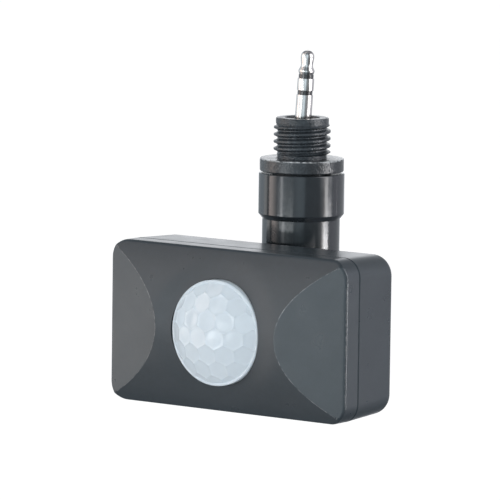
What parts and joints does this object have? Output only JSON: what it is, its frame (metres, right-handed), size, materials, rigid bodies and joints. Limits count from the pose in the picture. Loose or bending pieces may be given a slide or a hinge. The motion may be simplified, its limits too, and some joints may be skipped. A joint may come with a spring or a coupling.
{
  "type": "plug-in motion detector head",
  "caption": "Small infrared motion detector head with a domed honeycomb lens, on a swivelling neck with an M12 male thread and a 3.5 mm jack plug, for fitting under a lamp.",
  "frame": {"origin": "on the axis of the M12 thread, at its lower end, where the sealing washer's upper face lies", "axes": "+Z along the thread towards the jack plug, the lens looks along -Y, +X to the right of someone who faces the lens"},
  "size_m": [0.06, 0.0438, 0.0738],
  "materials": {
    "housing_gloss": "gloss",
    "neck_gloss": "gloss",
    "lens_white": "satin",
    "washer_rubber": "matte",
    "seal_rubber": "matte",
    "spigot_dark": "satin, moulded",
    "plug_nickel": "polished",
    "plug_insulator": "satin",
    "holder_black": "matte",
    "ring_plastic": "matte",
    "board_green": "satin",
    "can_metal": "satin",
    "window_dark": "gloss",
    "sensor_clear": "gloss",
    "chip_black": "matte",
    "connector_white": "matte",
    "capacitor_sleeve": "satin",
    "screw_steel": "plated",
    "washer_nylon": "satin",
    "trimmer_body": "matte",
    "dial_plastic": "matte"
  },
  "bodies": {
    "spigot": {"threaded_spigot": "spigot_dark", "sealing_washer": "washer_rubber", "swivel_o_ring": "seal_rubber", "swivel_ring": "ring_plastic", "plug_holder": "holder_black", "plug_sleeve": "plug_nickel", "plug_ring_insulator": "plug_insulator", "plug_ring": "plug_nickel", "plug_tip_insulator": "plug_insulator", "plug_tip": "plug_nickel"},
    "neck": {"coupling_sleeve": "neck_gloss", "neck_arm": "neck_gloss"},
    "head": {"front_cover": "housing_gloss", "rear_housing": "housing_gloss", "cover_gasket": "seal_rubber", "lens_dome": "lens_white", "lens_retainer": "ring_plastic", "circuit_board": "board_green", "pir_sensor": "can_metal", "pir_window": "window_dark", "pir_spacer": "connector_white", "light_sensor": "sensor_clear", "controller_chip": "chip_black", "voltage_regulator": "chip_black", "lead_connector": "connector_white", "storage_capacitor": "capacitor_sleeve", "housing_screws": "screw_steel", "board_screws": "screw_steel", "lead_grommet": "seal_rubber", "friction_washers": "washer_nylon", "pivot_screw": "screw_steel", "pivot_nut": "screw_steel", "time_trimmer": "trimmer_body", "light_trimmer": "trimmer_body", "range_trimmer": "trimmer_body"},
    "time_adjuster": {"time_dial": "dial_plastic"},
    "light_adjuster": {"light_dial": "dial_plastic"},
    "range_adjuster": {"range_dial": "dial_plastic"}
  },
  "joints": [
    {"name": "pan", "type": "hinge", "parent": "spigot", "child": "neck", "pos_m": [0, 0, 0], "axis": [0, 0, 1], "range_deg": [-90, 90]},
    {"name": "tilt", "type": "hinge", "parent": "neck", "child": "head", "pos_m": [0, 0, -0.032], "axis": [1, 0, 0], "range_deg": [0, 60]},
    {"name": "time_turn", "type": "hinge", "parent": "head", "child": "time_adjuster", "pos_m": [-0.013, -0.01606, -0.0506], "axis": [0, 0, 1], "range_deg": [-135, 135]},
    {"name": "light_turn", "type": "hinge", "parent": "head", "child": "light_adjuster", "pos_m": [0, -0.01606, -0.0506], "axis": [0, 0, 1], "range_deg": [-135, 135]},
    {"name": "range_turn", "type": "hinge", "parent": "head", "child": "range_adjuster", "pos_m": [0.013, -0.01606, -0.0506], "axis": [0, 0, 1], "range_deg": [-135, 135]}
  ]
}
